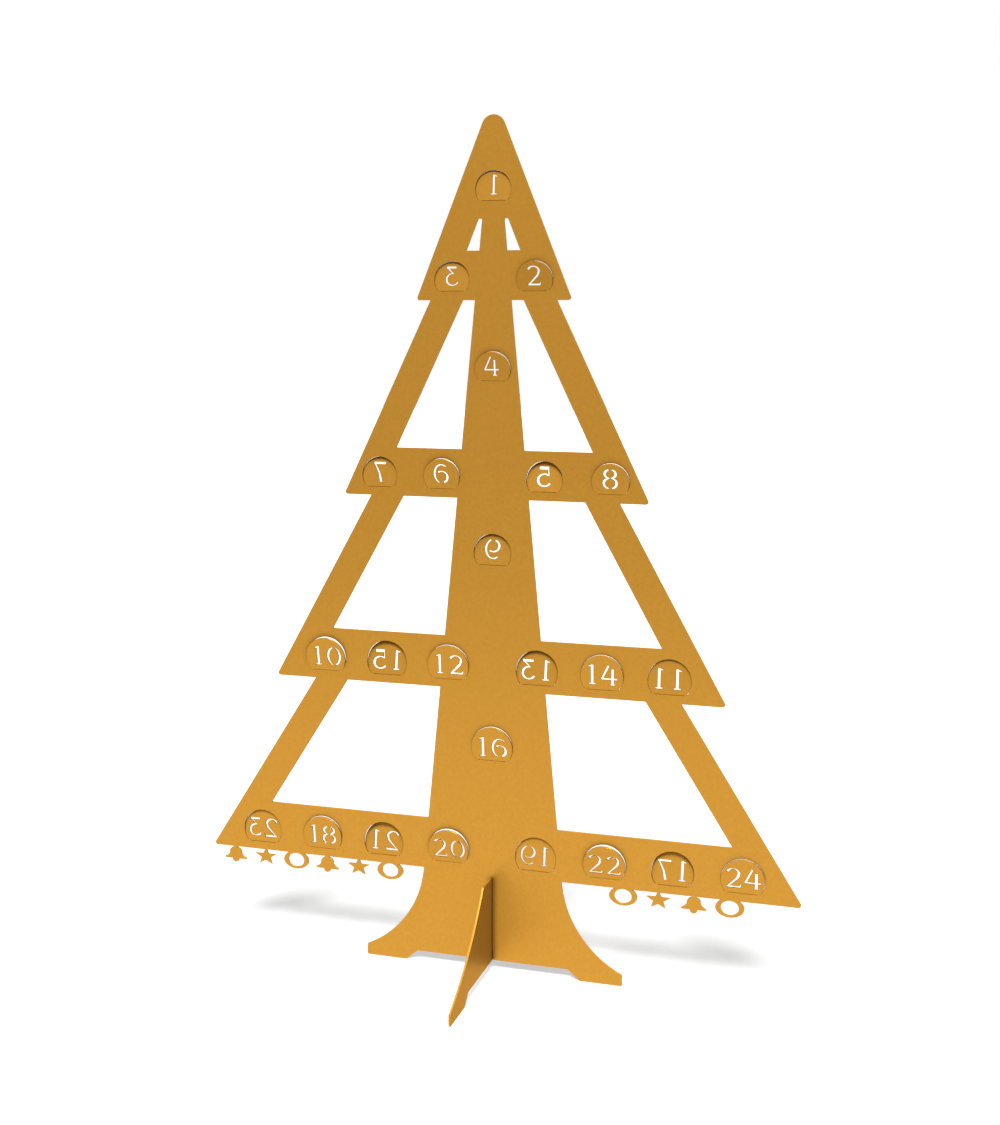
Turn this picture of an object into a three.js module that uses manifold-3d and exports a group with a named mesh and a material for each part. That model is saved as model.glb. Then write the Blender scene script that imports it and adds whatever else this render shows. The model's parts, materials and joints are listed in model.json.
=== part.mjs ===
// Tree-shaped advent calendar cut from gold painted sheet metal.
// Millimetres, +Z up. The origin is on the floor under the middle of the tree, X runs along the
// tree's face and -Y is the front. One flat tree stands on a slotted cross foot, and 24 round tabs
// with cut-through numerals are bent out of the tree on short bridges left at the ends of their folds.
import * as THREE from 'three';
import { mergeVertices } from 'three/addons/utils/BufferGeometryUtils.js';
import Module from 'manifold-3d';

const wasm = await Module();
wasm.setup();

// Sheet and cuts
const sheet = 1;                // thickness of the metal
const cutGap = 0.3;             // clear width of a cut round a tab and beside a crossing sheet

// Tree outline
const tierPitch = 100;          // height from one tier's bottom edge to the next
const lowestBarZ = 53.35;       // bottom edge of the lowest tier above the floor
const tipStep = 40.7;           // half width that each tier's tips gain on the tier above
const tipOverhang = 7.6;        // what a tip stands out past the next side, for each tier down
const ribWidth = 15.5;          // width of the slanted sides, square across
const barHeights = [24.4, 25.1, 27.7, 27.9];
const apexRadius = 6.1;
const tipRadius = 1.3;
const smallWindowEnd = 2;       // width of the top tier's two slim windows at their tops
const smallWindowCorner = 0.7;

// Trunk and the standing base that both crossing sheets share
const neckHalfWidth = 38.1;     // half width of the trunk at the lowest bar
const flareDepth = 7.8;         // how far the base's side bows in from a straight line
const padReach = 71.1;          // from the centre line to a pad's outer end
const padSideHeight = 6.1;
const padInner = 48.5;
const archHalfWidth = 42;
const archHeight = 5.6;
const padCornerRadius = 1;

// Cross foot
const footTopZ = 51.7;
const footTopHalf = 16;
const footFlareDepth = 4.5;
const lapZ = 10.7;              // height where the tree's slot and the foot's slot meet

// Round tabs: rim radius, rise of the rim above the fold, and height of the numeral
const smallTab = { radius: 9.4, rise: 14.6, digit: 9.7 };
const middleTab = { radius: 9.7, rise: 15.4, digit: 10.2 };
const ninthTab = { radius: 10.2, rise: 16, digit: 10.4 };
const largeTab = { radius: 11.3, rise: 18, digit: 10.4 };
const barFoldHeight = 4.8;      // fold of a tab in a bar, above the bar's bottom edge
const slotHalf = 0.3;           // half height of the slot along a fold
const bridgeWidth = 1.3;        // bridge of metal at each end of the slot
const numeralFoot = 2.6;        // numerals stand this far above the fold
const numeralPitch = 9.3;       // between the two numerals of a tab
const tabSteps = 18;            // chords round a tab

// Tabs in the bars, by tier: numbers from left to right and distances from the centre line
const barTabs = [
  { size: smallTab, numbers: [3, 2], reach: [21.6] },
  { size: middleTab, numbers: [7, 6, 5, 8], reach: [27.3, 61.4] },
  { size: largeTab, numbers: [10, 15, 12, 13, 14, 11], reach: [24, 58.3, 93] },
  { size: largeTab, numbers: [23, 18, 21, 20, 19, 22, 17, 24], reach: [24, 61, 96.6, 132.4] },
];
// Tabs on the trunk, one in each tier, with the fold's height above the tier's bottom edge
const trunkTabs = [
  { size: smallTab, number: 1, height: 48.9 },
  { size: smallTab, number: 4, height: 60.2 },
  { size: ninthTab, number: 9, height: 66.2 },
  { size: largeTab, number: 16, height: 62.6 },
];
// How far each tab is bent out, in degrees: even numbers to the front, odd ones to the back
const bend = {
  1: 3.5, 2: 7, 3: 4, 4: 8, 5: 7.5, 6: 6.5, 7: 4.5, 8: 6, 9: 5, 10: 8, 11: 3.5, 12: 4.5,
  13: 6.5, 14: 4, 15: 7, 16: 4.5, 17: 9, 18: 4.5, 19: 4, 20: 8, 21: 9.5, 22: 8.5, 23: 4, 24: 3.5,
};

// Row of cut-out ornaments hanging from the lowest bar
const ornamentDrop = 9;         // from the bar's bottom edge to the ornaments' lowest points
const ornamentPitch = 18.4;
const ornamentRows = [
  { side: -1, first: 57.5, count: 6 },
  { side: 1, first: 71, count: 4 },
];
const ornamentRoot = 1;         // how far an ornament runs up into the bar
const ring = { half: 7.4, holeHalf: 4.6, rim: 1.2 };
const star = { half: 6.4, waist: 0.42 };
const bell = {
  neckHalf: 1.2,
  neckZ: -0.6,
  shoulderHalf: 3.6,
  shoulderZ: -3.6,
  shoulderBow: 0.9,
  lipHalf: 6.4,
  lipHeight: 0.9,
  lipBow: -0.5,
  clapperRadius: 2,
};

const apexZ = lowestBarZ + barHeights.length * tierPitch;
const paint = { color: 0xc58f3a, roughness: 0.42, metalness: 0.55 };

// Solids

function toSolid(geometry) {
  geometry.deleteAttribute('normal');
  geometry.deleteAttribute('uv');
  const merged = mergeVertices(geometry, 1e-5);
  return new wasm.Manifold(new wasm.Mesh({
    numProp: 3,
    vertProperties: new Float32Array(merged.attributes.position.array),
    triVerts: new Uint32Array(merged.index.array),
  }));
}

function toGeometry(solid) {
  const mesh = solid.getMesh();
  const geometry = new THREE.BufferGeometry();
  geometry.setAttribute('position', new THREE.BufferAttribute(new Float32Array(mesh.vertProperties), 3));
  geometry.setIndex(new THREE.BufferAttribute(new Uint32Array(mesh.triVerts), 1));
  return geometry;
}

const cutterDepth = sheet * 3;

// Upright plate of an outline drawn in X and Z, with its thickness along Y
function plate(outline, thickness = sheet, holes = []) {
  const shape = new THREE.Shape(outline);
  shape.holes = holes.map((points) => new THREE.Path(points));
  const geometry = new THREE.ExtrudeGeometry(shape, { depth: thickness, bevelEnabled: false });
  geometry.translate(0, 0, -thickness / 2);
  geometry.rotateX(Math.PI / 2);
  return toSolid(geometry);
}

function namedMesh(name, solid) {
  const geometry = toGeometry(solid).toNonIndexed();
  geometry.computeVertexNormals();
  const mesh = new THREE.Mesh(geometry, new THREE.MeshStandardMaterial(paint));
  mesh.name = name;
  return mesh;
}

// Outlines

const point = (x, z) => new THREE.Vector2(x, z);
const mirrored = (points) => points.map((p) => point(-p.x, p.y)).reverse();

// Points on an ellipse's arc, angles in degrees
function arc(x, z, radiusX, radiusZ, from, to, steps) {
  const points = [];
  for (let i = 0; i <= steps; i += 1) {
    const angle = THREE.MathUtils.degToRad(from + ((to - from) * i) / steps);
    points.push(point(x + radiusX * Math.cos(angle), z + radiusZ * Math.sin(angle)));
  }
  return points;
}

// Rounded corner between two straight edges
function fillet(before, corner, after, radius, steps) {
  const back = before.clone().sub(corner).normalize();
  const ahead = after.clone().sub(corner).normalize();
  const half = Math.acos(THREE.MathUtils.clamp(back.dot(ahead), -1, 1)) / 2;
  const centre = back.clone().add(ahead).normalize().multiplyScalar(radius / Math.sin(half)).add(corner);
  const start = back.multiplyScalar(radius / Math.tan(half)).add(corner).sub(centre);
  const end = ahead.multiplyScalar(radius / Math.tan(half)).add(corner).sub(centre);
  const turn = Math.atan2(start.cross(end), start.dot(end));
  const points = [];
  for (let i = 0; i <= steps; i += 1) {
    points.push(start.clone().rotateAround(point(0, 0), (turn * i) / steps).add(centre));
  }
  return points;
}

// Arc from one point to another whose middle bows in to the left of the straight line by a depth
function bowedEdge(from, to, depth, steps) {
  const chord = to.clone().sub(from);
  const half = chord.length() / 2;
  const radius = (half * half + depth * depth) / (2 * depth);
  const left = point(-chord.y, chord.x).normalize();
  const centre = from.clone().add(to).multiplyScalar(0.5).addScaledVector(left, depth - radius);
  const start = from.clone().sub(centre);
  const end = to.clone().sub(centre);
  const turn = Math.atan2(start.cross(end), start.dot(end));
  const points = [];
  for (let i = 0; i <= steps; i += 1) {
    points.push(start.clone().rotateAround(point(0, 0), (turn * i) / steps).add(centre));
  }
  return points;
}

// Band along a line of [x, z, width] points
function band(line) {
  const left = [];
  const right = [];
  line.forEach(([x, z, width], i) => {
    const [x0, z0] = line[Math.max(i - 1, 0)];
    const [x1, z1] = line[Math.min(i + 1, line.length - 1)];
    const across = point(z0 - z1, x1 - x0).normalize().multiplyScalar(width / 2);
    left.push(point(x + across.x, z + across.y));
    right.push(point(x - across.x, z - across.y));
  });
  return left.concat(right.reverse());
}

// Tree

const tierBottom = (tier) => apexZ - tier * tierPitch;
const tipHalf = (tier) => tier * tipStep;
const sideStart = (tier) => (tier - 1) * (tipStep - tipOverhang);
const sideSlope = (tier) => (tipHalf(tier) - sideStart(tier)) / tierPitch;
const sideX = (tier, z) => sideStart(tier) + sideSlope(tier) * (tierBottom(tier - 1) - z);
const ribAcross = (tier) => ribWidth * Math.hypot(1, sideSlope(tier));
const ribInnerX = (tier, z) => sideX(tier, z) - ribAcross(tier);
const trunkSlope = neckHalfWidth / (apexZ - lowestBarZ);
const trunkX = (z) => trunkSlope * (apexZ - z);

// Right half of the base below a neck point, which runs down its bowed side, round the pad and
// along the arch to a slot that is open at the bottom
function baseSide(neck, depth) {
  const padTop = point(padReach, padSideHeight);
  const padCorner = point(padReach, 0);
  const padInside = point(padInner, 0);
  return [
    ...bowedEdge(neck, padTop, -depth, 12),
    ...fillet(padTop, padCorner, padInside, padCornerRadius, 3),
    padInside,
    point(archHalfWidth, archHeight),
  ];
}

function treeOutline() {
  const tiers = barHeights.length;
  const right = [];
  const shoulder = point(sideX(1, tierBottom(1)), tierBottom(1));
  const left = point(-shoulder.x, shoulder.y);
  const apexSteps = 12;
  const apex = fillet(left, point(0, apexZ), shoulder, apexRadius, apexSteps);
  right.push(...apex.slice(apexSteps / 2));
  for (let tier = 1; tier <= tiers; tier += 1) {
    const z = tierBottom(tier);
    const start = point(sideStart(tier), tierBottom(tier - 1));
    const inward = tier < tiers ? point(sideStart(tier + 1), z) : point(neckHalfWidth, z);
    right.push(...fillet(start, point(tipHalf(tier), z), inward, tipRadius, 4));
    if (tier < tiers) right.push(inward);
  }
  right.push(...baseSide(point(neckHalfWidth, lowestBarZ), flareDepth));
  const slotX = sheet / 2 + cutGap;
  right.push(point(slotX, archHeight), point(slotX, lapZ + cutGap / 2));
  return right.concat(mirrored(right).slice(0, -1));
}

// Window between the trunk and a slanted side on the right
function windowOutline(tier) {
  const low = tierBottom(tier) + barHeights[tier - 1];
  const closing = sideSlope(tier) - trunkSlope;
  const endZ = apexZ - (ribAcross(tier) + smallWindowEnd) / closing;
  const high = tier > 1 ? tierBottom(tier - 1) : endZ;
  const lowInner = point(trunkX(low), low);
  const lowOuter = point(ribInnerX(tier, low), low);
  const highInner = point(trunkX(high), high);
  const highOuter = point(ribInnerX(tier, high), high);
  if (tier > 1) return [lowInner, lowOuter, highOuter, highInner];
  return [
    lowInner,
    lowOuter,
    ...fillet(lowOuter, highOuter, highInner, smallWindowCorner, 3),
    ...fillet(highOuter, highInner, lowInner, smallWindowCorner, 3),
  ];
}

// Tab frame: X along the fold, Z up the tab, the fold at the origin

const foldDrop = (size) => size.rise - size.radius;
const tabRadius = (size) => size.radius - cutGap;
const bridgeOuterX = (size) => Math.sqrt(tabRadius(size) ** 2 - (foldDrop(size) - slotHalf) ** 2);

// Arc over the fold from the right to the left, ending at a half width and height
function tabArc(size, radius, halfWidth) {
  const drop = foldDrop(size);
  const end = THREE.MathUtils.radToDeg(Math.atan2(slotHalf - drop, halfWidth));
  return arc(0, drop, radius, radius, end, 180 - end, tabSteps);
}

// Opening in the tree: the rim, a pocket under each bridge and the slot between them
function tabOpening(size) {
  const outer = bridgeOuterX(size) + cutGap;
  const inner = bridgeOuterX(size) - bridgeWidth - cutGap;
  const pocket = -(sheet / 2 + cutGap);
  const rim = tabArc(size, size.radius, Math.sqrt(size.radius ** 2 - (foldDrop(size) - slotHalf) ** 2));
  return [
    ...rim,
    point(-outer, slotHalf),
    point(-outer, pocket),
    point(-inner, pocket),
    point(-inner, -slotHalf),
    point(inner, -slotHalf),
    point(inner, pocket),
    point(outer, pocket),
    point(outer, slotHalf),
  ];
}

function tabOutline(size) {
  const outer = bridgeOuterX(size);
  const inner = outer - bridgeWidth;
  return [
    ...tabArc(size, tabRadius(size), outer),
    point(-outer, 0),
    point(-inner, 0),
    point(-inner, slotHalf),
    point(inner, slotHalf),
    point(inner, 0),
    point(outer, 0),
  ];
}

// Numerals, drawn 10 high about x = 0, as bands that never close round an island
const thin = 0.6;
const thick = 1.4;

function bow(x, z, radiusX, radiusZ, from, to, heavy = thick) {
  const steps = 8;
  return arc(x, z, radiusX, radiusZ, from, to, steps).map((p) => {
    const sideways = Math.abs(p.x - x) / radiusX;
    return [p.x, p.y, thin + (heavy - thin) * sideways ** 2];
  });
}

const sixBands = [
  bow(0.4, 4.95, 3.8, 4.7, 60, 254),
  bow(0.35, 3.3, 2.95, 2.95, 162, -70),
];
const turned = (bands) => bands.map((line) => line.map(([x, z, width]) => [-x, 10 - z, width]));
const numeralBands = {
  0: [bow(0, 5, 3.2, 4.7, 101, 259), bow(0, 5, 3.2, 4.7, 79, -79)],
  1: [
    [[0, 10, 1.5], [0, 0, 1.5]],
    [[-1.7, 0.3, 0.6], [1.7, 0.3, 0.6]],
    [[-1.9, 9.1, 0.5], [0.3, 9.6, 0.8]],
  ],
  2: [
    bow(-0.4, 7.1, 2.9, 2.6, 160, 0),
    [[2.5, 7.2, 1.4], [1.8, 5.2, 1.2], [-2.7, 0.6, 0.7]],
    [[-3.3, 0.5, 1], [3.2, 0.5, 1]],
    [[2.9, 0.5, 0.8], [3.5, 1.8, 0.4]],
  ],
  3: [
    [[-2.5, 9.5, 1], [3, 9.5, 1]],
    [[2.6, 9.5, 0.8], [-0.9, 6, 0.7]],
    bow(-0.35, 3.3, 3.2, 3, 103, -152),
  ],
  4: [
    [[-0.4, 10, 0.9], [-3.7, 3.1, 0.9]],
    [[-4.1, 3.1, 0.9], [3.9, 3.1, 0.9]],
    [[1.6, 8.2, 1.3], [1.6, 0, 1.4]],
    [[0.4, 0.3, 0.6], [2.9, 0.3, 0.6]],
  ],
  5: [
    [[-2.4, 9.5, 1], [2.6, 9.5, 1]],
    [[-2.1, 9.6, 0.7], [-2.4, 5.5, 0.7]],
    bow(-0.2, 3.3, 3.3, 3, 130, -152),
  ],
  6: sixBands,
  7: [
    [[-3.2, 9.45, 1.1], [3.2, 9.45, 1.1]],
    [[2.8, 9.4, 0.7], [0.3, 4.4, 1.1], [-0.7, 0, 1.6]],
  ],
  8: [
    bow(0, 7.55, 2.3, 2.2, 106, 272, 1.2),
    bow(0, 7.55, 2.3, 2.2, 74, -92, 1.2),
    bow(0, 2.9, 3.1, 2.6, 88, 256),
    bow(0, 2.9, 3.1, 2.6, 92, -76),
  ],
  9: turned(sixBands),
};

// Cutters for a number's numerals, side by side in the tab frame
function numeralCutters(number, size, facing) {
  const digits = String(number).split('');
  const scale = size.digit / 10;
  return digits.flatMap((digit, i) => {
    const centre = (i - (digits.length - 1) / 2) * numeralPitch;
    return numeralBands[digit].map((line) => {
      const placed = line.map(([x, z, width]) => [
        facing * (centre + x * scale),
        numeralFoot + z * scale,
        width * scale,
      ]);
      return plate(band(placed), cutterDepth);
    });
  });
}

// Round root that turns on the fold, in place of the bent bridge
function bridgeRoot(x) {
  const geometry = new THREE.CylinderGeometry(sheet / 2, sheet / 2, bridgeWidth, 12);
  geometry.rotateZ(Math.PI / 2);
  geometry.translate(x, 0, 0);
  return toSolid(geometry);
}

function tabSolid(number, size) {
  const facing = number % 2 ? -1 : 1;
  const rootX = bridgeOuterX(size) - bridgeWidth / 2;
  const blank = plate(tabOutline(size)).add(bridgeRoot(rootX)).add(bridgeRoot(-rootX));
  return numeralCutters(number, size, facing).reduce((solid, cutter) => solid.subtract(cutter), blank);
}

// Where each tab's fold lies
function tabPlaces() {
  const places = [];
  barTabs.forEach(({ size, numbers, reach }, i) => {
    const z = tierBottom(i + 1) + barFoldHeight;
    const across = [...reach.map((x) => -x).reverse(), ...reach];
    numbers.forEach((number, j) => places.push({ number, size, x: across[j], z }));
  });
  trunkTabs.forEach(({ size, number, height }, i) => {
    places.push({ number, size, x: 0, z: tierBottom(i + 1) + height });
  });
  return places.sort((a, b) => a.number - b.number);
}

// Ornaments, drawn about the middle of the row, each reaching up into the bar
const ornamentMiddle = (ornamentRoot - ornamentDrop) / 2;
const ornamentHalf = (ornamentRoot + ornamentDrop) / 2;

function ringOrnament(x) {
  const holeHeight = ornamentHalf - ring.rim;
  const outer = arc(x, ornamentMiddle, ring.half, ornamentHalf, 0, 360, 18).slice(1);
  const hole = arc(x, ornamentMiddle, ring.holeHalf, holeHeight, 0, 360, 16).slice(1);
  return [plate(outer, sheet, [hole])];
}

function starOrnament(x) {
  const corners = 10;
  const points = [];
  for (let i = 0; i < corners; i += 1) {
    const share = i % 2 ? star.waist : 1;
    const angle = (2 * Math.PI * i) / corners;
    const wide = star.half * share * Math.sin(angle);
    points.push(point(x + wide, ornamentMiddle + ornamentHalf * share * Math.cos(angle)));
  }
  return [plate(points)];
}

function bellOrnament(x) {
  const lipZ = bell.clapperRadius - ornamentDrop;
  const neck = point(bell.neckHalf, bell.neckZ);
  const shoulder = point(bell.shoulderHalf, bell.shoulderZ);
  const lip = point(bell.lipHalf, lipZ + bell.lipHeight);
  const right = [
    point(bell.neckHalf, ornamentRoot),
    neck,
    ...bowedEdge(neck, shoulder, bell.shoulderBow, 4),
    ...bowedEdge(shoulder, lip, bell.lipBow, 3),
    point(bell.lipHalf, lipZ),
  ];
  const outline = [...right, ...mirrored(right)].map((p) => point(p.x + x, p.y));
  const clapper = arc(x, lipZ, bell.clapperRadius, bell.clapperRadius, 0, 360, 12).slice(1);
  return [plate(outline), plate(clapper)];
}

const ornaments = [ringOrnament, starOrnament, bellOrnament];

function ornamentSolids() {
  return ornamentRows.flatMap(({ side, first, count }) => {
    const solids = [];
    for (let i = 0; i < count; i += 1) {
      const x = side * (first + i * ornamentPitch);
      solids.push(...ornaments[i % ornaments.length](x));
    }
    return solids.map((solid) => solid.translate([0, 0, lowestBarZ]));
  });
}

function treeSolid(places) {
  const rims = places.map(({ size, x, z }) => tabOpening(size).map((p) => point(p.x + x, p.y + z)));
  let tree = plate(treeOutline(), sheet, rims);
  for (let tier = 1; tier <= barHeights.length; tier += 1) {
    const pane = windowOutline(tier);
    tree = tree.subtract(plate(pane, cutterDepth)).subtract(plate(mirrored(pane), cutterDepth));
  }
  return ornamentSolids().reduce((solid, ornament) => solid.add(ornament), tree);
}

// Foot across the tree: the same base with its slot open at the top
function footSolid() {
  const slotHalfWidth = sheet / 2 + cutGap;
  const right = [
    point(slotHalfWidth, lapZ - cutGap / 2),
    point(slotHalfWidth, footTopZ),
    ...baseSide(point(footTopHalf, footTopZ), footFlareDepth),
  ];
  return plate(right.concat(mirrored(right))).rotate([0, 0, 90]);
}

// Assembly

const calendar = new THREE.Group();
const places = tabPlaces();
calendar.add(namedMesh('tree_plate', treeSolid(places)));
calendar.add(namedMesh('cross_foot', footSolid()));
for (const { number, size, x, z } of places) {
  const fold = new THREE.Group();
  const forward = number % 2 ? -1 : 1;
  fold.position.set(x, 0, z);
  fold.rotation.x = forward * THREE.MathUtils.degToRad(bend[number]);
  fold.add(namedMesh(`tab_${String(number).padStart(2, '0')}`, tabSolid(number, size)));
  calendar.add(fold);
}

export default calendar;
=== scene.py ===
# A tree-shaped advent calendar of gold painted sheet metal, 44 cm tall: a flat tree with 24 round
# numbered tabs bent out of it, held upright by a slotted foot that crosses its base. Sizes are in
# millimetres; each mesh is brought to metres once it is finished.
import json
import math

import bmesh
import bpy
from mathutils import Matrix, Vector
from mathutils.geometry import delaunay_2d_cdt


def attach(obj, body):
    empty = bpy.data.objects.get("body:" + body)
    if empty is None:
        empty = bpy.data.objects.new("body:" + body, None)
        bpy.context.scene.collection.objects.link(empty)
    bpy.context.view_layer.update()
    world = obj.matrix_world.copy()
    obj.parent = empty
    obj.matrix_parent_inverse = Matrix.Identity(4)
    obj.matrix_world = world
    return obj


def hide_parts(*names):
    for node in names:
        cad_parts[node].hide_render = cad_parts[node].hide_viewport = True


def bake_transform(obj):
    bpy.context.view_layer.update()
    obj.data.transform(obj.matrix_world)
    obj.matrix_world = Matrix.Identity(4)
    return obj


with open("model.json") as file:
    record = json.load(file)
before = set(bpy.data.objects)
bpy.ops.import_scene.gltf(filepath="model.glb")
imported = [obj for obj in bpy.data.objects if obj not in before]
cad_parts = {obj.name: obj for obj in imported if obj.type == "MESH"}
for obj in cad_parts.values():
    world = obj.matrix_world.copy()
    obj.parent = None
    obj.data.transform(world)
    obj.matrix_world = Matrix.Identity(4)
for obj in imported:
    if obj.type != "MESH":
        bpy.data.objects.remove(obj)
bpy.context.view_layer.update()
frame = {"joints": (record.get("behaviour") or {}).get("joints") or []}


# Tree. One sheet of 1 mm steel cut to four tiers of slanted sides and level bars on a tapering
# trunk, with a rounded base. Its outline and its windows come first, and it is cut further down.
sheet = 1.0
cut_gap = 0.3

tier_pitch = 100.0
lowest_bar_z = 53.35
bar_heights = (24.4, 25.1, 27.7, 27.9)
tiers = len(bar_heights)
apex_z = lowest_bar_z + tiers * tier_pitch
apex_radius = 6.1
apex_steps = 28
tip_step = 40.7
tip_overhang = 7.6
tip_radius = 1.3
side_width = 15.5
slim_window_end = 2.0
slim_window_radius = 0.7
corner_steps = 8

neck_half_width = 38.1
base_flare = 7.8
base_steps = 36
pad_reach = 71.1
pad_side = 6.1
pad_inner = 48.5
pad_corner = 1.0
pad_steps = 6
arch_half_width = 42.0
arch_height = 5.6
lap_z = 10.7

trunk_slope = neck_half_width / (apex_z - lowest_bar_z)


def turned(arm, centre, turn, steps):
    """Points that an arm from a centre passes as it turns by an angle."""
    return [centre + Matrix.Rotation(turn * i / steps, 2) @ arm for i in range(steps + 1)]


def turn_between(a, b):
    return math.atan2(a.x * b.y - a.y * b.x, a.dot(b))


def fillet(before, corner, after, radius, steps):
    """Rounded corner between two straight edges."""
    back = (before - corner).normalized()
    ahead = (after - corner).normalized()
    half = back.angle(ahead) / 2
    centre = corner + (back + ahead).normalized() * (radius / math.sin(half))
    start = corner + back * (radius / math.tan(half)) - centre
    end = corner + ahead * (radius / math.tan(half)) - centre
    return turned(start, centre, turn_between(start, end), steps)


def bowed(start, end, depth, steps):
    """Arc between two points whose middle bows in to the left of the straight line by a depth."""
    chord = end - start
    radius = ((chord.length / 2) ** 2 + depth ** 2) / (2 * depth)
    left = Vector((-chord.y, chord.x)).normalized()
    centre = (start + end) / 2 + left * (depth - radius)
    return turned(start - centre, centre, turn_between(start - centre, end - centre), steps)


def mirrored(points):
    return [Vector((-p.x, p.y)) for p in reversed(points)]


def tier_bottom(tier):
    return apex_z - tier * tier_pitch


def side_start(tier):
    return (tier - 1) * (tip_step - tip_overhang)


def side_slope(tier):
    return (tier * tip_step - side_start(tier)) / tier_pitch


def side_x(tier, z):
    return side_start(tier) + side_slope(tier) * (tier_bottom(tier - 1) - z)


def side_across(tier):
    return side_width * math.hypot(1, side_slope(tier))


def trunk_x(z):
    return trunk_slope * (apex_z - z)


def base_side(neck, flare):
    """Right half of the base: its bowed side, the pad, and the arch as far as the slot."""
    pad_top = Vector((pad_reach, pad_side))
    inside = Vector((pad_inner, 0))
    return [
        *bowed(neck, pad_top, -flare, base_steps),
        *fillet(pad_top, Vector((pad_reach, 0)), inside, pad_corner, pad_steps),
        inside,
        Vector((arch_half_width, arch_height)),
    ]


def tree_outline():
    """The whole outline, from the apex down its right side to the slot, and its mirror image."""
    shoulder = Vector((side_x(1, tier_bottom(1)), tier_bottom(1)))
    apex = Vector((0, apex_z))
    cap = fillet(Vector((-shoulder.x, shoulder.y)), apex, shoulder, apex_radius, apex_steps)
    right = cap[apex_steps // 2:]
    for tier in range(1, tiers + 1):
        z = tier_bottom(tier)
        start = Vector((side_start(tier), tier_bottom(tier - 1)))
        inward = Vector((side_start(tier + 1) if tier < tiers else neck_half_width, z))
        right += fillet(start, Vector((tier * tip_step, z)), inward, tip_radius, corner_steps)
        if tier < tiers:
            right.append(inward)
    right += base_side(Vector((neck_half_width, lowest_bar_z)), base_flare)
    slot_x = sheet / 2 + cut_gap
    right += [Vector((slot_x, arch_height)), Vector((slot_x, lap_z + cut_gap / 2))]
    return right + mirrored(right)[:-1]


def window(tier):
    """The open pane between the trunk and a slanted side on the right, rounded in the top tier."""
    low = tier_bottom(tier) + bar_heights[tier - 1]
    high = tier_bottom(tier - 1)
    if tier == 1:
        high -= (side_across(tier) + slim_window_end) / (side_slope(tier) - trunk_slope)
    low_in = Vector((trunk_x(low), low))
    low_out = Vector((side_x(tier, low) - side_across(tier), low))
    high_out = Vector((side_x(tier, high) - side_across(tier), high))
    high_in = Vector((trunk_x(high), high))
    if tier > 1:
        return [low_in, low_out, high_out, high_in]
    return [
        low_in,
        low_out,
        *fillet(low_out, high_out, high_in, slim_window_radius, corner_steps),
        *fillet(high_out, high_in, low_in, slim_window_radius, corner_steps),
    ]


# Openings of the round tabs. A tab is cut out of the tree along its rim and along a slot below its
# fold, and is bent out there. The slot's lower wall is hollowed, so that the tab's foot can turn.
kerf = 0.08
slot_drop = 0.38
slot_round = 0.59
rim_inset = 0.15
rim_steps = 72
mm_per_m = 1000
tab_sizes = {
    "small": {"radius": 9.4, "rise": 14.6, "numeral": 9.7, "numbers": (1, 2, 3, 4)},
    "middle": {"radius": 9.7, "rise": 15.4, "numeral": 10.2, "numbers": (5, 6, 7, 8)},
    "ninth": {"radius": 10.2, "rise": 16.0, "numeral": 10.4, "numbers": (9,)},
    "large": {"radius": 11.3, "rise": 18.0, "numeral": 10.4, "numbers": range(10, 25)},
}
folds = {joint["name"]: joint for joint in frame["joints"]}
tabs = []
for size in tab_sizes.values():
    for number in size["numbers"]:
        name = f"tab_{number:02d}"
        fold = folds[f"{name}_fold"]
        bend = math.radians(-fold["range_deg"][0])
        tabs.append({
            "name": name,
            "number": number,
            "size": size,
            "place": Vector(fold["pos_m"]) * mm_per_m,
            "lean": Matrix.Rotation(bend, 4, Vector(fold["axis"])),
            "bend": bend * fold["axis"][0],
        })


def arc(x, z, radius_x, radius_z, start, end, steps):
    """Points on an ellipse's arc, angles in degrees."""
    turns = [math.radians(start + (end - start) * i / steps) for i in range(steps + 1)]
    return [Vector((x + radius_x * math.cos(t), z + radius_z * math.sin(t))) for t in turns]


def rim(size, radius, low, *corners):
    """Round rim from right to left down to a low height, then straight below to its corners."""
    rise = size["rise"] - size["radius"]
    end = math.degrees(math.asin((low - rise) / radius))
    fold_x = math.sqrt(radius ** 2 - rise ** 2)
    left = [Vector((-fold_x, z)) for z in corners]
    return arc(0, rise, radius, radius, end, 180 - end, rim_steps) + left + mirrored(left)


def tab_opening(tab):
    outline = rim(tab["size"], tab["size"]["radius"] - rim_inset + kerf / 2, 0, -slot_drop)
    return [p + tab["place"].xz for p in outline]


# Ornaments. Rings, stars and bells of the tree's own sheet hang in a row from the lowest bar, on
# both sides of the trunk. Each is joined to the bar where it overlaps it.
ornament_drop = 9.0
ornament_root = 1.0
ornament_pitch = 18.4
ornament_rows = ((-1, 57.5, 6), (1, 71.0, 4))
ornament_middle = (ornament_root - ornament_drop) / 2
ornament_half = (ornament_root + ornament_drop) / 2
ring_half_width = 7.4
ring_steps = 56
ring_hole_half_width = 4.6
ring_hole_steps = 44
ring_top_width = 1.2
star_half_width = 6.4
star_points = 5
star_waist = 0.42
bell_neck_half_width = 1.2
bell_neck_z = -0.6
bell_shoulder = 3.6
bell_shoulder_bow = 0.9
bell_shoulder_steps = 12
bell_half_width = 6.4
bell_side_bow = 0.5
bell_side_steps = 8
bell_lip = 0.9
clapper_radius = 2.0
clapper_steps = 32


def ellipse(z, half_width, half_height, steps):
    return arc(0, z, half_width, half_height, 0, 360, steps)[1:]


def ring_ornament():
    hoop = ellipse(ornament_middle, ring_half_width, ornament_half, ring_steps)
    hole = ellipse(ornament_middle, ring_hole_half_width, ornament_half - ring_top_width,
                   ring_hole_steps)
    return [hoop], [hole]


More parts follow.
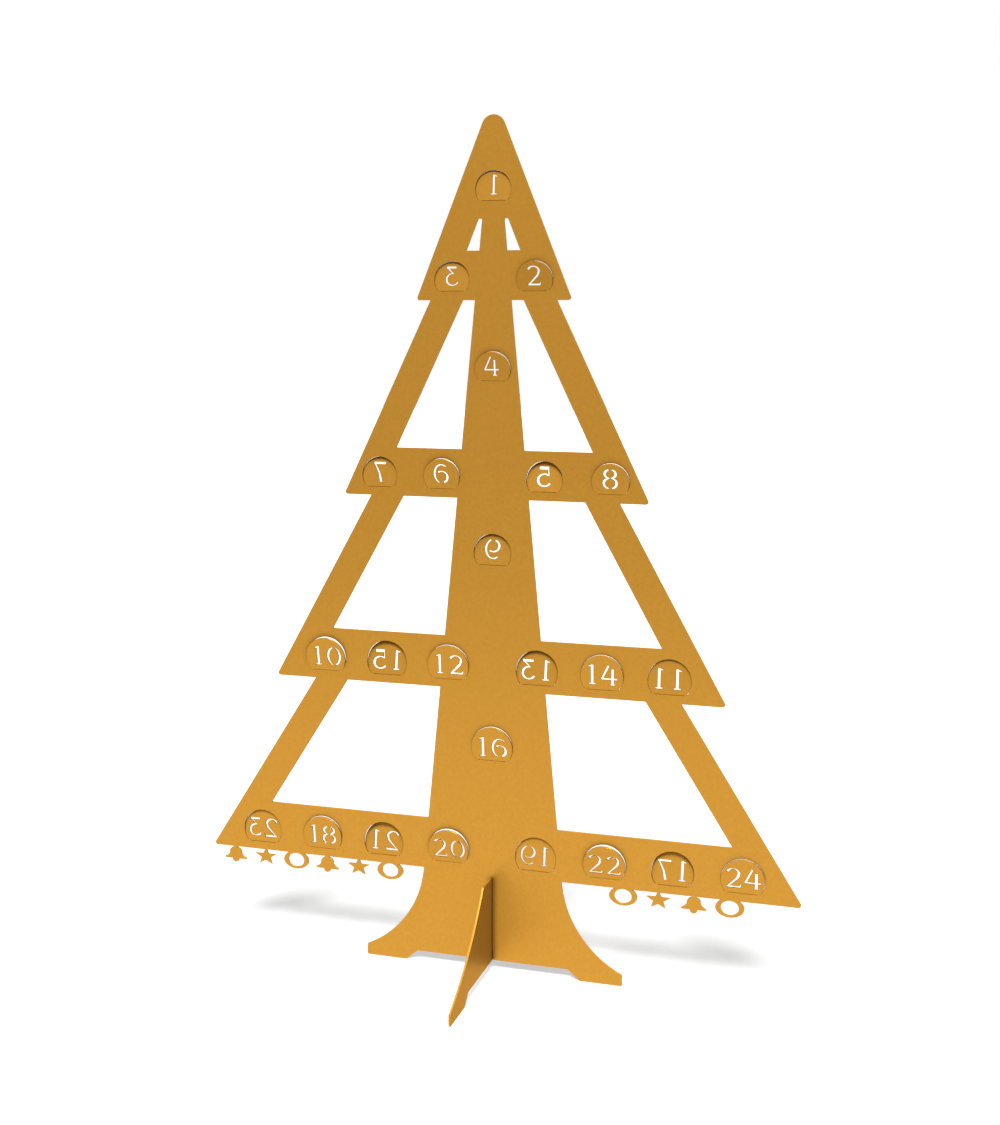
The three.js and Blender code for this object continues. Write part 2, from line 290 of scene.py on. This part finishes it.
def star_ornament():
    points = []
    for i in range(2 * star_points):
        share = star_waist if i % 2 else 1
        turn = math.pi * i / star_points
        points.append(Vector((star_half_width * share * math.sin(turn),
                              ornament_middle + ornament_half * share * math.cos(turn))))
    return [points], []


def bell_ornament():
    """A bell with a shoulder, a flared side and a lip, and the clapper that shows below it."""
    lip_z = clapper_radius - ornament_drop
    neck = Vector((bell_neck_half_width, bell_neck_z))
    shoulder = Vector((bell_shoulder, -bell_shoulder))
    lip_top = Vector((bell_half_width, lip_z + bell_lip))
    side = [
        Vector((bell_neck_half_width, ornament_root)),
        *bowed(neck, shoulder, bell_shoulder_bow, bell_shoulder_steps),
        *bowed(shoulder, lip_top, -bell_side_bow, bell_side_steps),
        Vector((bell_half_width, lip_z)),
    ]
    clapper = ellipse(lip_z, clapper_radius, clapper_radius, clapper_steps)
    return [side + mirrored(side), clapper], []


# The tree's sheet. It is cut in one go with its windows, the tabs' openings and the ornaments, its
# edges are lightly eased, and it is painted. It stands on the two pads of its base.
eased_edge = 0.05
sharp_turn = math.radians(28)
all_triangles = 0
same_point = 1e-4
shortest_edge = 0.04
straight_turn = 0.001
facing = 0.9
wall_reach = 1.0
near = 0.01
round_cuts = 10


def anticlockwise(outline):
    turning = sum(a.cross(b) for a, b in zip(outline, outline[1:] + outline[:1]))
    return outline if turning > 0 else outline[::-1]


def new_verts(made):
    return [part for part in made["geom"] if isinstance(part, bmesh.types.BMVert)]


def round_wall(bm, fold, level, radius):
    """Draw the level wall under a fold down to a round of a radius about the fold."""
    flat = sheet / 2 - eased_edge
    level_faces = [face for face in bm.faces if abs(face.normal.z) > facing]
    middles = [(face, face.calc_center_median()) for face in level_faces]
    walls = [face for face, at in middles
             if abs(at.x - fold.x) < wall_reach and abs(at.z - fold.y - level) < near]
    across = dict.fromkeys(edge for face in walls for edge in face.edges
                           if abs(edge.verts[0].co.y - edge.verts[1].co.y) > flat)
    split = bmesh.ops.subdivide_edges(bm, edges=list(across), cuts=round_cuts)
    for vert in new_verts(split):
        if abs(vert.co.y) < flat - near:
            vert.co.z = fold.y - math.sqrt(radius ** 2 - vert.co.y ** 2)


def finished(bm, name):
    """A piece of its own from a finished mesh, shaded sharp across its folded edges."""
    mesh = bpy.data.meshes.new(name)
    bm.to_mesh(mesh)
    bm.free()
    mesh.set_sharp_from_angle(angle=sharp_turn)
    piece = bpy.data.objects.new(name, mesh)
    bpy.context.scene.collection.objects.link(piece)
    return piece


def cut_sheet(name, kept, cut, rounds=()):
    """An upright sheet that holds the kept outlines less the cut ones, with its edges eased."""
    outlines = [anticlockwise(outline) for outline in kept + cut]
    points = [p for outline in outlines for p in outline]
    loops, first = [], 0
    for outline in outlines:
        loops.append(list(range(first, first + len(outline))))
        first += len(outline)
    places, _, triangles, _, _, inside = delaunay_2d_cdt(
        points, [], loops, all_triangles, same_point)
    metal = [t for t, marks in zip(triangles, inside) if marks and max(marks) < len(kept)]
    bm = bmesh.new()
    corners = {i: bm.verts.new((places[i].x, eased_edge - sheet / 2, places[i].y))
               for i in sorted({i for t in metal for i in t})}
    for t in metal:
        bm.faces.new([corners[i] for i in t])
    bmesh.ops.remove_doubles(bm, verts=bm.verts, dist=shortest_edge)
    bm.normal_update()
    bmesh.ops.dissolve_limit(bm, angle_limit=straight_turn, verts=bm.verts, edges=bm.edges)
    back = bmesh.ops.extrude_face_region(bm, geom=bm.faces[:], use_keep_orig=True)
    bmesh.ops.translate(bm, verts=new_verts(back), vec=(0, sheet - 2 * eased_edge, 0))
    bmesh.ops.recalc_face_normals(bm, faces=bm.faces)
    flats = [face for face in bm.faces if abs(face.normal.y) > facing]
    bmesh.ops.inset_region(bm, faces=flats, thickness=eased_edge, depth=eased_edge,
                           use_boundary=True, use_even_offset=False)
    for fold, level, radius in rounds:
        round_wall(bm, fold, level, radius)
    for face in bm.faces:
        face.smooth = abs(face.normal.y) < facing
    return finished(bm, name)


def to_metres(piece, place=Matrix.Identity(4)):
    piece.data.transform(Matrix.Scale(1 / mm_per_m, 4) @ place)


ornaments = (ring_ornament, star_ornament, bell_ornament)
kept = [tree_outline()]
cut = [tab_opening(tab) for tab in tabs]
for tier in range(1, tiers + 1):
    cut += [window(tier), mirrored(window(tier))]
for side, first, count in ornament_rows:
    for i in range(count):
        at = Vector((side * (first + i * ornament_pitch), lowest_bar_z))
        solid, holes = ornaments[i % len(ornaments)]()
        kept += [[p + at for p in outline] for outline in solid]
        cut += [[p + at for p in outline] for outline in holes]
hollows = [(tab["place"].xz, -slot_drop, slot_round) for tab in tabs]
tree = cut_sheet("painted_tree", kept, cut, hollows)
to_metres(tree)

# The paint is a satin gold coat, put on after cutting. It is a little mottled and finely grained.
# Painted shade turns it towards near-black in the narrow cuts and in recesses with metal close by,
# but not on the lowest few millimetres at the floor. Seen in reflections and by bounced light it is
# duller and darker, which holds down what it throws back on its neighbours.
gold_colour = (0.64, 0.307, 0.042, 1)
# The near-black of the painted shade in cuts and recesses, and how far from other metal it reaches.
painted_shade_colour = (0.03, 0.014, 0.003, 1)
shade_reach = 0.004
pad_foot = 0.005
pad_clear = 0.008
mottle_scale = 560
grain_scale = 2600
grain_depth = 0.00003


def set_inputs(graph, node, values):
    """Set a node's inputs, each to a number or colour or to another node's output."""
    for name, value in values.items():
        if isinstance(value, bpy.types.NodeSocket):
            graph.links.new(value, node.inputs[name])
        else:
            node.inputs[name].default_value = value


def add_node(graph, kind, values=None, **settings):
    """A new node's outputs, once its settings and its inputs are set."""
    node = graph.nodes.new(f"ShaderNode{kind}")
    for setting, value in settings.items():
        setattr(node, setting, value)
    set_inputs(graph, node, values or {})
    return node.outputs


def ranged(graph, value, low, high, start=0.0, end=1.0, interpolation="LINEAR"):
    """A value's range from start to end, brought to the range from low to high."""
    return add_node(graph, "MapRange", {
        "Value": value, "From Min": start, "From Max": end, "To Min": low, "To Max": high,
    }, interpolation_type=interpolation)["Result"]


def combined(graph, operation, first, second):
    return add_node(graph, "Math", {0: first, 1: second}, operation=operation)["Value"]


gold = bpy.data.materials.new("gold_paint")
gold.use_nodes = True
graph = gold.node_tree
place = add_node(graph, "TexCoord")["Object"]
ray = add_node(graph, "LightPath")
# Painted light: to reflections and bounced light the paint shows duller and darker than to the
# camera, which holds down the gold light it throws on its neighbours.
bounced = combined(graph, "MAXIMUM", ray["Is Diffuse Ray"], ray["Is Glossy Ray"])
mottle = add_node(graph, "TexNoise", {"Vector": place, "Scale": mottle_scale, "Detail": 3})
tone = ranged(graph, mottle["Fac"], 0.965, 1.035, start=0.3, end=0.7)
paint = add_node(graph, "HueSaturation", {
    "Color": gold_colour,
    "Hue": ranged(graph, bounced, 0.5, 0.515),
    "Saturation": ranged(graph, bounced, 1.0, 0.52),
    "Value": combined(graph, "MULTIPLY", tone, ranged(graph, bounced, 1.0, 0.45)),
})
# Painted shade: where an occlusion test finds metal within reach, the coat turns towards
# near-black.
openness = add_node(graph, "AmbientOcclusion", {"Distance": shade_reach}, samples=8)
height = add_node(graph, "SeparateXYZ", {"Vector": place})
outside_painted_shade = ranged(graph, openness["AO"], 0.05, 1.0, start=0.35, end=0.95)
# The painted shade is left off the lowest few millimetres, where the pads stand on the floor.
at_floor = ranged(graph, height["Z"], 1.0, 0.0, start=pad_foot, end=pad_clear)
coat = add_node(graph, "Mix", {
    "Factor": combined(graph, "MAXIMUM", outside_painted_shade, at_floor),
    "A": painted_shade_colour,
    "B": paint["Color"],
}, data_type="RGBA")
grain = add_node(graph, "TexNoise", {"Vector": place, "Scale": grain_scale, "Detail": 2})
bump = add_node(graph, "Bump", {"Strength": 0.25, "Distance": grain_depth, "Height": grain["Fac"]})
set_inputs(graph, graph.nodes["Principled BSDF"], {
    "Base Color": coat["Result"],
    "Normal": bump["Normal"],
    "Metallic": 0.5,
    "Roughness": 0.37,
    "Specular IOR Level": 0.03,
    "Specular Tint": (1, 0.7, 0.3, 1),
})

tree.data.materials.append(gold)
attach(tree, "tree")
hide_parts("tree_plate")


# Tabs. Each is the disc left in its opening, its number cut through it and its foot rounded about
# the fold. Its lower corners are drawn in, to pass the ends of the opening as it turns. Even
# numbers read from in front, and odd ones, bent to the back in mirror writing, from behind.
foot_drop = 0.2
foot_round = 0.5
corner_top = 1.0
corner_foot = 0.3
stroke_share = 0.88
bow_steps = 26
thin = 0.6
thick = 1.4


def band(line):
    """Outline of a band along a line of (x, z, width) points."""
    left, right = [], []
    for i, (x, z, width) in enumerate(line):
        x0, z0, _ = line[max(i - 1, 0)]
        x1, z1, _ = line[min(i + 1, len(line) - 1)]
        across = Vector((z0 - z1, x1 - x0)).normalized() * (width / 2)
        left.append(Vector((x, z)) + across)
        right.append(Vector((x, z)) - across)
    return left + right[::-1]


def bow(x, z, radius_x, radius_z, start, end, heavy=thick):
    """Band along an arc, thin at its top and bottom and heavy at its sides."""
    line = arc(x, z, radius_x, radius_z, start, end, bow_steps)
    return [(p.x, p.y, thin + (heavy - thin) * (abs(p.x - x) / radius_x) ** 2) for p in line]


# The numerals are drawn numeral_height high about x = 0, as bands of (x, z, width) points with gaps
# between them, which leave the bridges that hold the counters.
numeral_height = 10
six = [bow(0.3, 4.95, 3.7, 4.7, 52, 252, 1.2), bow(0.35, 3.35, 3.05, 2.9, 128, -72)]
numerals = {
    "0": [bow(0, 5, 3.2, 4.7, 101, 259), bow(0, 5, 3.2, 4.7, 79, -79)],
    "1": [
        [(0, 10, 1.5), (0, 0, 1.5)],
        [(-1.7, 0.3, 0.6), (1.7, 0.3, 0.6)],
        [(-1.9, 9.1, 0.5), (0.3, 9.6, 0.8)],
    ],
    "2": [
        bow(-0.4, 7.1, 2.9, 2.6, 160, 0),
        [(2.5, 7.2, 1.4), (1.8, 5.2, 1.2), (-2.7, 0.6, 0.7)],
        [(-3.3, 0.5, 1), (3.2, 0.5, 1)],
        [(2.9, 0.5, 0.8), (3.5, 1.8, 0.4)],
    ],
    "3": [
        [(-2.5, 9.4, 1.2), (3, 9.4, 1.2)],
        [(2.6, 9.5, 0.8), (-0.9, 6, 0.7)],
        bow(-0.35, 3.3, 3.2, 3, 103, -152),
    ],
    "4": [
        [(-0.4, 10, 0.9), (-3.7, 3.1, 0.9)],
        [(-4.1, 3.1, 0.9), (3.9, 3.1, 0.9)],
        [(1.6, 8.2, 1.3), (1.6, 0, 1.4)],
        [(0.4, 0.3, 0.6), (2.9, 0.3, 0.6)],
    ],
    "5": [
        [(-2.4, 9.3, 1.5), (2.5, 9.3, 1.5)],
        [(-2.1, 9.4, 0.6), (-2.4, 5.5, 0.7)],
        bow(-0.2, 3.3, 3.25, 3, 130, -150, 1.6),
    ],
    "6": six,
    "7": [
        [(-3.2, 9.45, 1.1), (3.2, 9.45, 1.1)],
        [(2.8, 9.4, 0.7), (0.3, 4.4, 1.1), (-0.7, 0, 1.6)],
    ],
    "8": [
        bow(0, 7.5, 2.75, 2.15, 106, 262),
        bow(0, 7.5, 2.75, 2.15, 74, -82),
        bow(0, 2.85, 3.2, 2.6, 98, 256),
        bow(0, 2.85, 3.2, 2.6, 82, -76),
    ],
    "9": [[(-x, numeral_height - z, width) for x, z, width in line] for line in six],
}
numeral_foot = 2.35
numeral_pitch = 9.3
# How far a number stands off its tab's middle, to the reader's right and up, and its extra pitch.
numeral_shifts = {
    1: (0, 0.3, 0), 2: (-0.2, 0, 0), 3: (0.3, 0, 0), 4: (-0.5, 0, 0),
    5: (0.5, 0, 0), 6: (-0.3, 0, 0), 7: (0.2, -0.1, 0), 8: (-0.2, 0, 0),
    9: (0.2, 0.4, 0), 10: (0.2, 0.1, -0.2), 11: (0.8, 0.1, 0), 12: (-0.1, 0, -0.1),
    13: (0.2, 0, 0), 14: (-0.6, 0, -0.3), 15: (-0.3, 0, 0), 16: (-0.5, -0.7, -0.4),
    17: (-0.1, 0, 0), 18: (-0.6, 0, -0.6), 19: (-0.1, 0.1, -0.4), 20: (0.4, -0.2, 0.3),
    21: (0.5, 0, 0.2), 22: (0.1, -0.1, 0.3), 23: (0.3, 0.1, 0.2), 24: (0.3, 0, 0.4),
}


def tab_outline(size):
    return rim(size, size["radius"] - rim_inset - kerf / 2, corner_top, corner_foot, -foot_drop)


def number_bands(tab):
    """Outlines of all the bands of a tab's number."""
    scale = tab["size"]["numeral"] / numeral_height
    facing_way = -1 if tab["number"] % 2 else 1
    aside, lift, spread = numeral_shifts[tab["number"]]
    digits = str(tab["number"])
    outlines = []
    for i, digit in enumerate(digits):
        middle = aside + (i - (len(digits) - 1) / 2) * (numeral_pitch + spread)
        for line in numerals[digit]:
            outlines.append(band([
                (facing_way * (middle + x * scale), numeral_foot + lift + z * scale,
                 width * scale * stroke_share)
                for x, z, width in line
            ]))
    return outlines


foot_edge = (Vector((0, 0)), -foot_drop, foot_round)
for tab in tabs:
    name = tab["name"]
    piece = cut_sheet(f"painted_{name}", [tab_outline(tab["size"])], number_bands(tab), [foot_edge])
    to_metres(piece, Matrix.Translation(tab["place"]) @ tab["lean"])
    piece.data.materials.append(gold)
    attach(piece, name)
    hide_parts(name)


# Bridges. The two short necks of the tree's metal that hold a tab at the ends of its fold. They
# reach from the slot's foot to as far above the fold, and bend in even steps as the tab is bent.
bridge_width = 1.3
bridge_lap = 0.15
bridge_half = slot_drop + eased_edge
bridge_steps = 6
step_height = 2 * bridge_half / bridge_steps
for tab in tabs:
    name = tab["name"]
    bridge_x = tab_outline(tab["size"])[-1].x + (bridge_lap - bridge_width) / 2
    bm = bmesh.new()
    for side in (-1, 1):
        neck = bmesh.ops.create_grid(bm, x_segments=1, y_segments=1, size=0.5)["verts"]
        bmesh.ops.scale(bm, verts=neck, vec=(bridge_width + bridge_lap, sheet, 1))
        bmesh.ops.translate(bm, verts=neck, vec=(side * bridge_x, 0, -bridge_half))
        bmesh.ops.bevel(bm, geom=neck, offset=eased_edge, offset_type="OFFSET", affect="VERTICES",
                        segments=1, profile=0.5, material=-1)
    level = bm.faces[:]
    for i in range(bridge_steps):
        grown = bmesh.ops.extrude_face_region(bm, geom=level)
        level = [part for part in grown["geom"] if isinstance(part, bmesh.types.BMFace)]
        raised = new_verts(grown)
        centre = sum((face.calc_center_median() for face in level), Vector()) / len(level)
        bmesh.ops.rotate(bm, verts=raised, cent=centre,
                         matrix=Matrix.Rotation(tab["bend"] / bridge_steps, 3, "X"))
        climb = Matrix.Rotation(tab["bend"] * (i + 0.5) / bridge_steps, 3, "X") @ Vector((0, 0, 1))
        bmesh.ops.translate(bm, verts=raised, vec=climb * step_height)
    bmesh.ops.recalc_face_normals(bm, faces=bm.faces)
    for face in bm.faces:
        face.smooth = True
    bridges = finished(bm, f"bridges_{tab['number']:02d}")
    to_metres(bridges, Matrix.Translation(tab["place"]))
    bridges.data.materials.append(gold)
    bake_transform(bridges)


# Cross foot. A second sheet of the same metal with the same rounded base, painted alike. It is
# slotted from the top down, and the tree drops into it until its own short slot sits on the foot.
foot_top_z = 51.7
foot_top_half = 16.0
foot_flare = 4.5
half = [
    Vector((sheet / 2 + cut_gap, lap_z - cut_gap / 2)),
    Vector((sheet / 2 + cut_gap, foot_top_z)),
    *base_side(Vector((foot_top_half, foot_top_z)), foot_flare),
]
foot = cut_sheet("painted_foot", [half + mirrored(half)], [])
to_metres(foot, Matrix.Rotation(math.pi / 2, 4, "Z"))
foot.data.materials.append(gold)
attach(foot, "foot")
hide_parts("cross_foot")


# Studio floor. A wide pale sweep that the calendar stands on. It glows white to the camera and half
# as strongly in reflections. As painted light the glow is a little weaker in front and stronger
# behind the tree, which washes out the tree's long shadow there; the soft shadows close to it stay.
# To bounced light the floor is darker.
floor_half = 3.0
floor_front = 0.7
bm = bmesh.new()
bmesh.ops.create_grid(bm, x_segments=1, y_segments=1, size=floor_half)
bmesh.ops.translate(bm, verts=bm.verts, vec=(0, floor_half - floor_front, 0))
floor = finished(bm, "floor")
floor_paint = bpy.data.materials.new("pale_floor")
floor_paint.use_nodes = True
graph = floor_paint.node_tree
ray = add_node(graph, "LightPath")
reflected = combined(graph, "MULTIPLY", ray["Is Glossy Ray"], 0.5)
seen = combined(graph, "MAXIMUM", ray["Is Camera Ray"], reflected)
depth = add_node(graph, "SeparateXYZ", {"Vector": add_node(graph, "TexCoord")["Object"]})
# Painted light: the floor's glow rises from in front of the tree to behind it, washing out the
# tree's long shadow there.
sweep = ranged(graph, depth["Y"], 0.48, 0.7, start=0.1, end=0.3, interpolation="SMOOTHSTEP")
set_inputs(graph, graph.nodes["Principled BSDF"], {
    # To bounced diffuse light the floor is darker than to the camera, so less light bounces up onto
    # the calendar.
    "Base Color": ranged(graph, ray["Is Diffuse Ray"], 0.68, 0.2),
    "Roughness": 0.9,
    "Specular IOR Level": 0.1,
    "Emission Color": (1, 1, 1, 1),
    "Emission Strength": combined(graph, "MULTIPLY", sweep, seen),
})
floor.data.materials.append(floor_paint)


# Studio light. A broad soft lamp stands above the camera, and the room is white behind the object
# and overhead and greyer in front. The camera sees the room as plain white.
world = bpy.data.worlds.new("surround")
bpy.context.scene.world = world
world.use_nodes = True
graph = world.node_tree
direction = add_node(graph, "TexCoord")["Generated"]
backward = add_node(graph, "VectorMath", {0: direction, 1: (-0.35, 0.94, 0)},
                    operation="DOT_PRODUCT")
upward = add_node(graph, "SeparateXYZ", {"Vector": direction})
behind = ranged(graph, backward["Value"], 0.28, 1.0, start=-0.5, end=0.5,
                interpolation="SMOOTHSTEP")
overhead = ranged(graph, upward["Z"], 0.0, 0.6, end=0.95, interpolation="SMOOTHSTEP")
room = combined(graph, "ADD", behind, overhead)
ray = add_node(graph, "LightPath")
mirrored_ray = combined(graph, "MAXIMUM", ray["Is Glossy Ray"], ray["Is Transmission Ray"])
glow = combined(graph, "MULTIPLY", room, ranged(graph, mirrored_ray, 0.15, 1.0))
set_inputs(graph, graph.nodes["Background"], {
    "Color": (1, 1, 1, 1),
    "Strength": combined(graph, "MAXIMUM", glow, ray["Is Camera Ray"]),
})

lamp_side = math.radians(11)
lamp_height = math.radians(50)
to_lamp = Vector((math.sin(lamp_side) * math.cos(lamp_height),
                  -math.cos(lamp_side) * math.cos(lamp_height), math.sin(lamp_height)))
lamp = bpy.data.objects.new("soft_lamp", bpy.data.lights.new("soft_lamp", "SUN"))
lamp.data.angle = math.radians(20)
lamp.data.energy = 4.7
lamp.rotation_mode = "QUATERNION"
lamp.rotation_quaternion = to_lamp.to_track_quat("Z", "Y")
bpy.context.scene.collection.objects.link(lamp)


# Camera. It stands a little to the right of the tree and above its middle, with the place and lens
# that a fit to the tree's straight edges gave.
yaw = 0.292
pitch = 0.1549
roll = math.radians(0.168)
distance = 0.77869
target = Vector((0.00394, 0, 0.2208))
right = Vector((math.cos(yaw), math.sin(yaw), 0))
level_ahead = Vector((-math.sin(yaw), math.cos(yaw), 0))
ahead = level_ahead * math.cos(pitch) - Vector((0, 0, math.sin(pitch)))
up = level_ahead * math.sin(pitch) + Vector((0, 0, math.cos(pitch)))
side_axis = right * math.cos(roll) + up * math.sin(roll)
up_axis = up * math.cos(roll) - right * math.sin(roll)
camera = bpy.data.objects.new("camera", bpy.data.cameras.new("camera"))
camera.data.lens = 48.606
camera.data.sensor_width = 36
camera_turn = Matrix((side_axis, up_axis, -ahead)).transposed().to_4x4()
camera.matrix_world = Matrix.Translation(target - ahead * distance) @ camera_turn
bpy.context.scene.collection.objects.link(camera)
bpy.context.scene.camera = camera
bpy.context.scene.view_settings.view_transform = "Standard"
